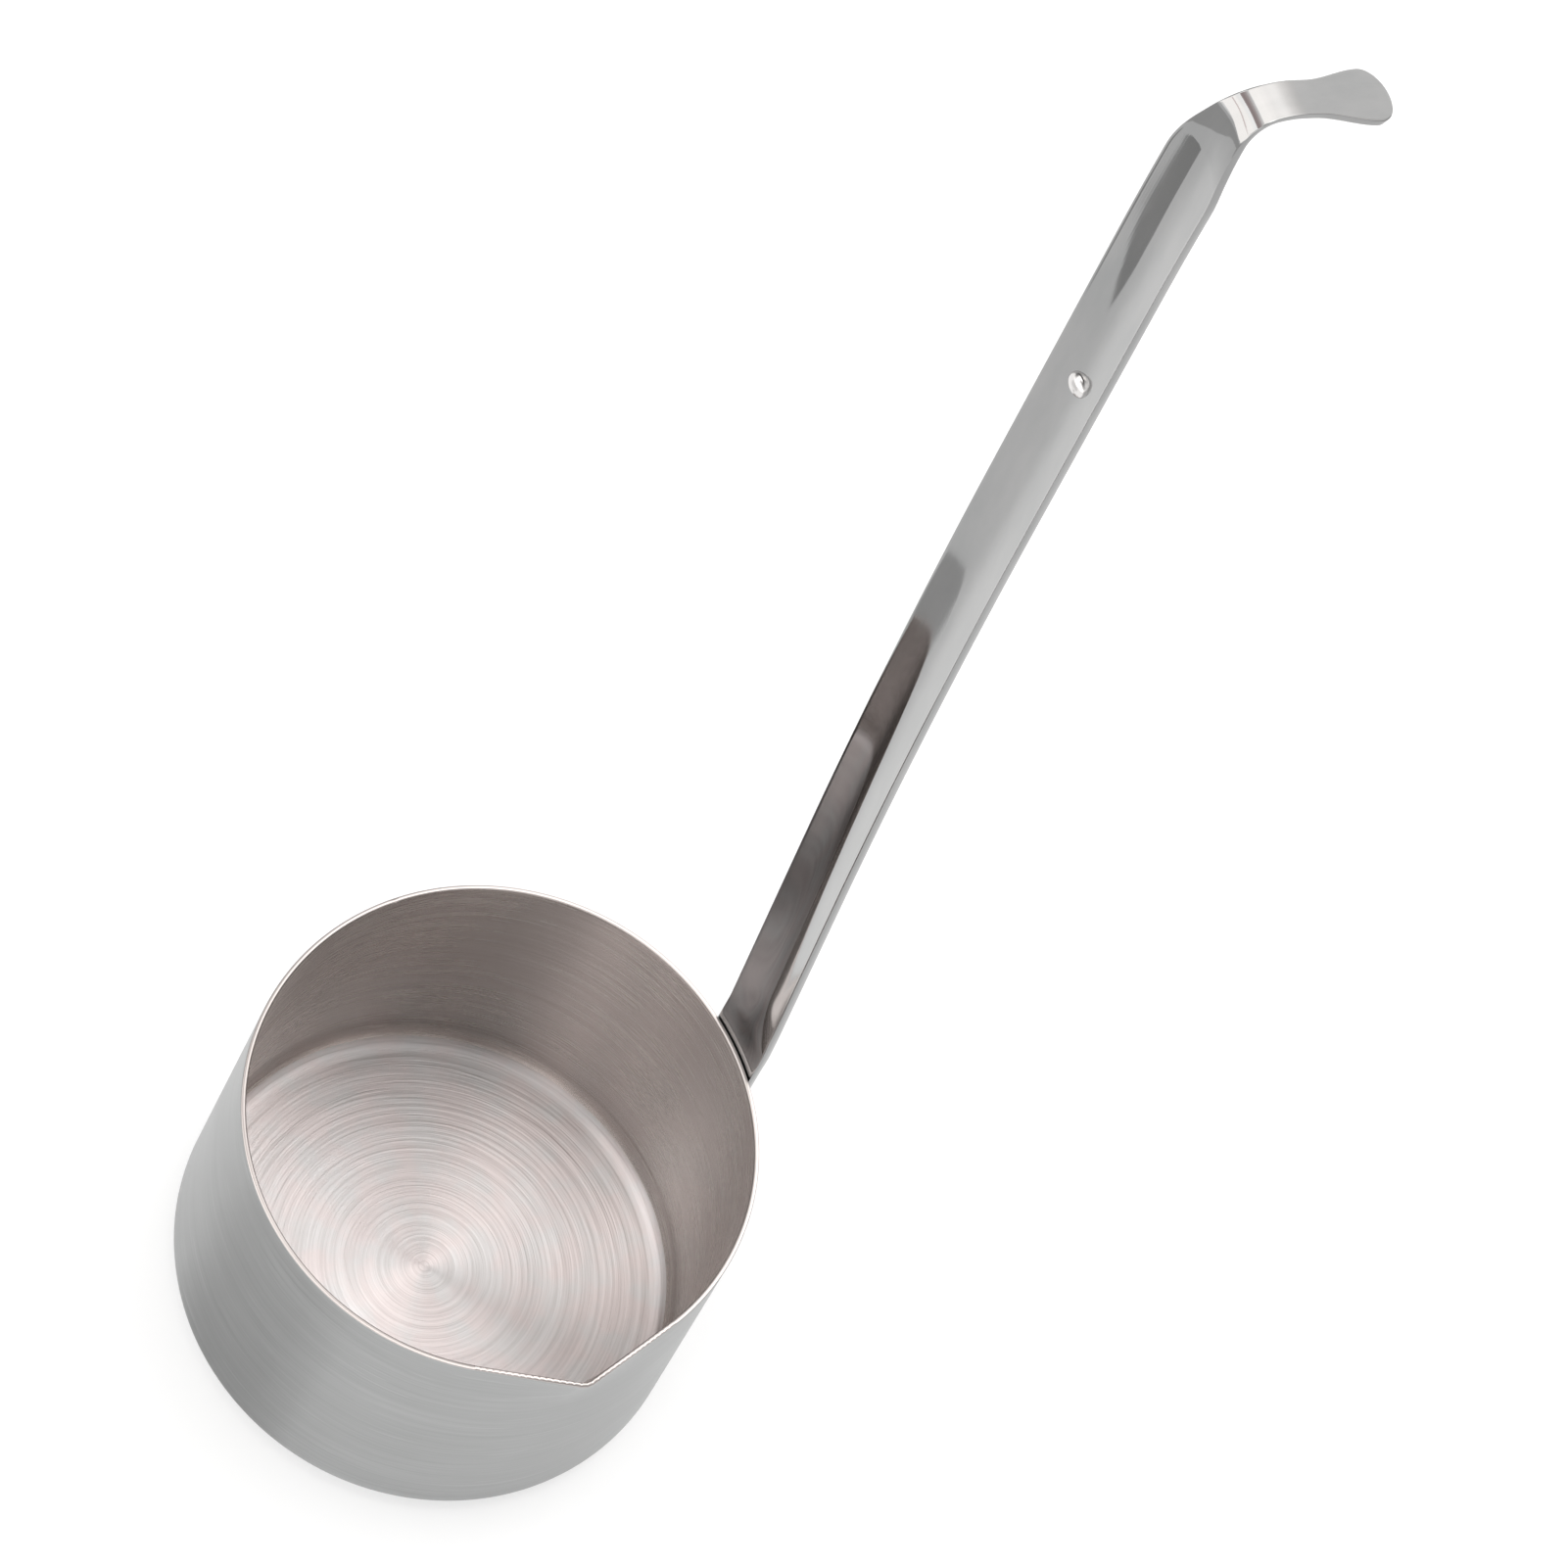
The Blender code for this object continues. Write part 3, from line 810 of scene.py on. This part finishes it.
def polished_steel(name, dark, light, roughness):
    """Buffed steel with faint lines along the handle."""
    material, tree, shader = new_finish(name)
    place = add_node(tree, "ShaderNodeTexCoord").outputs["Object"]
    hair = streaks(tree, place, HAIRLINE_GRAIN, 2.0, 0.5, FULL_RANGE)
    haze = streaks(tree, place, HAZE_GRAIN, 3.0, 0.55, EVEN_GRAIN)
    color = add_node(tree, "ShaderNodeMix",
                     [("data_type", "RGBA"), (6, linear(dark)), (7, linear(light))], [(0, haze)])
    tree.links.new(color.outputs[2], shader.inputs["Base Color"])
    hazy = add_node(tree, "ShaderNodeMapRange",
                    [("To Min", roughness - 0.02), ("To Max", roughness + 0.02)], [("Value", haze)])
    buffed = add_node(tree, "ShaderNodeMath", [("operation", "MULTIPLY_ADD"), (1, 0.03)],
                      [(0, hair), (2, hazy.outputs["Result"])])
    tree.links.new(buffed.outputs[0], shader.inputs["Roughness"])
    raised = add_node(tree, "ShaderNodeBump", [("Strength", 0.15), ("Distance", HAIRLINE_DEPTH)],
                      [("Height", hair)])
    tree.links.new(raised.outputs["Normal"], shader.inputs["Normal"])
    return material


handle.data.materials.append(
    polished_steel("polished_stainless_steel_strip", "#8F9090", "#989898", 0.035))
stud.data.materials.append(
    polished_steel("polished_stainless_steel_stud", "#D8D6D5", "#DFDDDC", 0.19))
print("Handle:", handle.data.materials[0].name)

# %% [markdown]
# ## Table and light
#
# The picture is a catalogue shot: a white table, a large soft light overhead and a pale room. The
# table takes the ladle's soft shadow and is seen as plain white, by the camera and in the steel.

# %% Table
TABLE_RADIUS = 3.0
TABLE_CORNERS = 96
TABLE_LEVEL = -0.0002

bpy.context.scene.view_settings.view_transform = "Standard"
start_clean()
bpy.ops.mesh.primitive_circle_add(vertices=TABLE_CORNERS, radius=TABLE_RADIUS, fill_type="NGON",
                                  location=(0.0, 0.0, TABLE_LEVEL))
table = bpy.context.object
table.name = "white_table"
surface = bpy.data.materials.new("white_table_paper")
surface.use_nodes = True
tree = surface.node_tree
shader = tree.nodes["Principled BSDF"]
shader.inputs["Base Color"].default_value = linear("#F2F2F2")
shader.inputs["Roughness"].default_value = 0.9
shader.inputs["Specular IOR Level"].default_value = 0.0
seen = add_node(tree, "ShaderNodeLightPath")
direct = add_node(tree, "ShaderNodeMath", [("operation", "MAXIMUM")],
                  [(0, seen.outputs["Is Camera Ray"]), (1, seen.outputs["Is Glossy Ray"])])
direct = add_node(tree, "ShaderNodeMath", [("operation", "MAXIMUM")],
                  [(0, direct.outputs[0]), (1, seen.outputs["Is Transmission Ray"])])
paper = add_node(tree, "ShaderNodeBsdfDiffuse", [("Color", linear("#B5B5B5"))])
glow = add_node(tree, "ShaderNodeEmission", [("Color", linear("#FFFFFF")), ("Strength", 0.54)])
white = add_node(tree, "ShaderNodeAddShader", [], [(0, paper.outputs[0]), (1, glow.outputs[0])])
swap = add_node(tree, "ShaderNodeMixShader", [],
                [(0, direct.outputs[0]), (1, shader.outputs[0]), (2, white.outputs[0])])
tree.links.new(swap.outputs[0], tree.nodes["Material Output"].inputs["Surface"])
table.data.materials.append(surface)
print("Table is", round(table.dimensions.x, 1), "m across")

# %% [markdown]
# ## Cards for the steel to mirror
#
# Polished steel is only as lively as the room it mirrors, so a studio puts grey and white cards
# round it. One helper makes such a card. The steel mirrors it and nothing else does: it casts no
# shadow, and the camera looks past it. A number in each corner of its mesh, the cover, says how
# solid its paint is there, so that a card can thin out to nothing and have a soft edge.

# %% Helper for cards


def studio_card(name, corners, faces, cover, kind, settings):
    """A card that only the steel mirrors, painted with one shader where its cover is 1."""
    mesh = bpy.data.meshes.new(name)
    mesh.from_pydata(corners, [], faces)
    shares = mesh.attributes.new("cover", "FLOAT", "POINT")
    shares.data.foreach_set("value", cover)
    card = bpy.data.objects.new(name, mesh)
    bpy.context.scene.collection.objects.link(card)
    card.visible_camera = False
    card.visible_diffuse = False
    card.visible_shadow = False
    paint = bpy.data.materials.new(name)
    paint.use_nodes = True
    tree = paint.node_tree
    solid_paint = add_node(tree, kind, settings)
    clear = add_node(tree, "ShaderNodeBsdfTransparent")
    amount = add_node(tree, "ShaderNodeAttribute", [("attribute_name", "cover")])
    thinned = add_node(tree, "ShaderNodeMixShader", [], [
        (0, amount.outputs["Fac"]), (1, clear.outputs[0]), (2, solid_paint.outputs[0])])
    tree.links.new(thinned.outputs[0], tree.nodes["Material Output"].inputs["Surface"])
    mesh.materials.append(paint)
    print(name, "has", len(corners), "corners")


def ladder(steps):
    """Faces between neighbouring pairs of corners."""
    return [(2 * step, 2 * step + 1, 2 * step + 3, 2 * step + 2) for step in range(steps - 1)]


# %% [markdown]
# Two grey cards lie on the table at the picture's left. A small one near the ladle gives the top
# of the polished strip its dark wedge, and a large one further out gives the hook's first bend a
# dark facet. Both reflections have sharp edges, so these cards have them too. The corners that
# show in the steel were found with a separate ray trace, which followed the reflections' edges
# back to the table.

# %% Flat grey cards
CARD_LEVEL = 0.001
FLAT_CARDS = [
    ("low_grey_card", "#A9A9A9", [
        (-0.137, 0.044), (-0.137, 0.034), (-0.144, 0.017), (-0.152, 0.009), (-0.168, 0.004),
        (-0.190, 0.002), (-0.222, 0.000), (-0.216, 0.022), (-0.196, 0.052), (-0.170, 0.055),
        (-0.150, 0.059), (-0.140, 0.056)]),
    ("far_grey_card", "#C9C9C9", [
        (-0.306, -0.096), (-0.308, -0.036), (-0.301, 0.023), (-0.287, 0.067), (-0.273, 0.109),
        (-0.272, 0.160), (-0.280, 0.208), (-1.080, 0.755), (-1.300, 0.188), (-1.260, -0.373)]),
]
for name, shade, outline in FLAT_CARDS:
    studio_card(name, [(x, y, CARD_LEVEL) for x, y in outline], [list(range(len(outline)))],
                [1.0] * len(outline), "ShaderNodeBsdfDiffuse", [("Color", linear(shade))])

# %% [markdown]
# A third card lies close to the cup on the same side. The satin wall shows it as a dark band
# without an edge, so its paint thins out at both sides. Its corners come from the same tracing,
# from points low and high on the wall. How far out it reaches and how it thins were then chosen.

# %% Soft card for the satin wall
SOFT_CARD = [
    # near corner x, y and cover, far corner x, y and cover
    ((-0.0380, 0.0097, 0), (-0.0520, 0.0548, 0)),
    ((-0.0388, 0.0044, 0.4), (-0.0647, 0.0436, 0.6)),
    ((-0.0390, 0.0004, 0.65), (-0.0723, 0.0333, 1)),
    ((-0.0387, -0.0035, 0.7), (-0.0782, 0.0213, 1)),
    ((-0.0371, -0.0112, 0.7), (-0.0831, -0.0050, 1)),
    ((-0.0352, -0.0161, 0.5), (-0.0809, -0.0229, 0.75)),
    ((-0.0327, -0.0206, 0.1), (-0.0746, -0.0401, 0.2)),
    ((-0.0288, -0.0258, 0), (-0.0612, -0.0587, 0)),
]
ends = [end for row in SOFT_CARD for end in row]
studio_card("soft_grey_card", [(x, y, CARD_LEVEL) for x, y, _ in ends], ladder(len(SOFT_CARD)),
            [share for _, _, share in ends], "ShaderNodeBsdfDiffuse", [("Color", linear("#BEBEBE"))])

# %% [markdown]
# The hook turns right round in a few millimetres, so it mirrors the whole room in narrow bands. Its
# two white bands are two small lit cards close to it, which the rest of the ladle hardly sees. Two
# dim cards just in front of them draw thin brown lines, one in the first band and one after it.

# %% Lit cards for the hook
HOOK_CENTRE = Vector((0.012, 0.0, 0.368))
LIT_CARDS = [
    # name, colour, strength, distance in metres, then rows of azimuth, elevation, half width and
    # tilt in degrees, and cover
    ("low_lit_card", "#FFFBF8", 3.0, 0.150, [
        (162, -2.5, 12, 10, 1), (159, 10, 12, 0, 1), (156, 28, 9, 0, 1), (151, 44, 6, 0, 1),
        (148, 53, 5, 0, 0)]),
    ("high_lit_card", "#FFFBF8", 3.05, 0.150, [
        (70, 74, 20, 0, 1), (45, 60, 22, 0, 1), (33, 53, 20, 0, 0.9), (25, 42, 18, 0, 0.76),
        (23, 34, 17, 0, 0.62), (21, 26, 16, 0, 0.53), (20, 19, 15, 0, 0.44), (19, 11, 14, 0, 0.24),
        (19, 5, 13, 0, 0)]),
    ("slim_dim_card", "#FFEDEA", 1.8, 0.145, [(159, 32, 7, 9, 0.8), (159, 38, 7, 9, 0.8)]),
    ("gap_dim_card", "#FFEAE8", 0.85, 0.145, [
        (146, 58, 18, 0, 0.8), (142, 61, 19, 0, 1), (136, 65, 21, 0, 1), (126, 69, 25, 0, 0.8),
        (112, 72, 30, 0, 0)]),
]


def direction(azimuth, elevation):
    """Unit vector towards an azimuth and an elevation in degrees."""
    turn, lift = math.radians(azimuth), math.radians(elevation)
    return Vector((math.cos(turn) * math.cos(lift), math.sin(turn) * math.cos(lift), math.sin(lift)))


for name, shade, strength, distance, bends in LIT_CARDS:
    corners = [HOOK_CENTRE + distance * direction(turn + side * half, lift + side * tilt)
               for turn, lift, half, tilt, _ in bends for side in (-1, 1)]
    studio_card(name, corners, ladder(len(bends)), [row[4] for row in bends for _ in range(2)],
                "ShaderNodeEmission", [("Color", linear(shade)), ("Strength", strength)])

# %% [markdown]
# The light is a pale room with large soft sources, written as smooth lobes of brightness on the
# sky, so that no lamp draws a hard edge in the brushed steel. A lobe's brightness falls off smoothly
# with the angle from its middle, and its tightness says how fast. A bright band round the horizon
# stands for the room's walls. The lobes' strengths come from a least-squares fit to the tones of
# the photograph's reflections, and some were then changed.

# %% Pale room with soft sources
ROOM_LEVEL = 0.20
HORIZON_GLOW = 1.14
HORIZON_TIGHTNESS = 30
SOFT_LIGHTS = [
    # azimuth, elevation, tightness, strength
    (0, 80, 35, 2.9),
    (72, 80, 35, 2.34),
    (60, 66, 90, 0.29),
    (0, 56, 35, 2.12),
    (22.5, 56, 35, 1.02),
    (45, 56, 35, 0.46),
    (67.5, 56, 35, 0.43),
    (90, 56, 35, 0.27),
    (112.5, 56, 35, 1.16),
    (135, 56, 35, 2.04),
    (202.5, 56, 35, 0.62),
    (315, 56, 35, 0.28),
    (337.5, 56, 35, 1.63),
    (158, 52, 60, 0.94),
    (152, 40, 90, 0.99),
    (22, 38, 90, 1.1),
    (30, 30, 20, 1.11),
    (150, 30, 20, 1.29),
    (180, 30, 20, 0.63),
    (210, 30, 20, 1.95),
    (270, 30, 20, 0.4),
    (300, 30, 20, 0.31),
    (152, 20, 90, 0.17),
    (22, 12, 60, 0.26),
    (0, 5, 10, 0.14),
    (180, 5, 10, 0.98),
    (240, 5, 10, 1.44),
]


def soft_light(tree, view, azimuth, elevation, tightness, strength):
    """A smooth round source on the sky, brightest in one direction."""
    toward = direction(azimuth, elevation)
    facing = add_node(tree, "ShaderNodeVectorMath", [("operation", "DOT_PRODUCT"), (1, toward)],
                      [(0, view)]).outputs["Value"]
    fall = add_node(tree, "ShaderNodeMath",
                    [("operation", "MULTIPLY_ADD"), (1, tightness), (2, -tightness)], [(0, facing)])
    glow = add_node(tree, "ShaderNodeMath", [("operation", "EXPONENT")], [(0, fall.outputs[0])])
    return add_node(tree, "ShaderNodeMath", [("operation", "MULTIPLY"), (1, strength)],
                    [(0, glow.outputs[0])]).outputs[0]


world = bpy.data.worlds.new("pale_room")
bpy.context.scene.world = world
world.use_nodes = True
tree = world.node_tree
sky = add_node(tree, "ShaderNodeTexCoord").outputs["Generated"]
view = add_node(tree, "ShaderNodeVectorMath", [("operation", "NORMALIZE")],
                [(0, sky)]).outputs["Vector"]
height = add_node(tree, "ShaderNodeSeparateXYZ", [], [("Vector", view)]).outputs["Z"]
squared = add_node(tree, "ShaderNodeMath", [("operation", "MULTIPLY")], [(0, height), (1, height)])
fall = add_node(tree, "ShaderNodeMath", [("operation", "MULTIPLY"), (1, -HORIZON_TIGHTNESS)],
                [(0, squared.outputs[0])])
ring = add_node(tree, "ShaderNodeMath", [("operation", "EXPONENT")], [(0, fall.outputs[0])])
level = add_node(tree, "ShaderNodeMath",
                 [("operation", "MULTIPLY_ADD"), (1, HORIZON_GLOW), (2, ROOM_LEVEL)],
                 [(0, ring.outputs[0])]).outputs[0]
for light in SOFT_LIGHTS:
    level = add_node(tree, "ShaderNodeMath", [("operation", "ADD")],
                     [(0, level), (1, soft_light(tree, view, *light))]).outputs[0]
tree.links.new(level, tree.nodes["Background"].inputs["Strength"])
tree.nodes["Background"].inputs["Color"].default_value = linear("#FFFEFD")
print("Soft lights:", len(SOFT_LIGHTS))
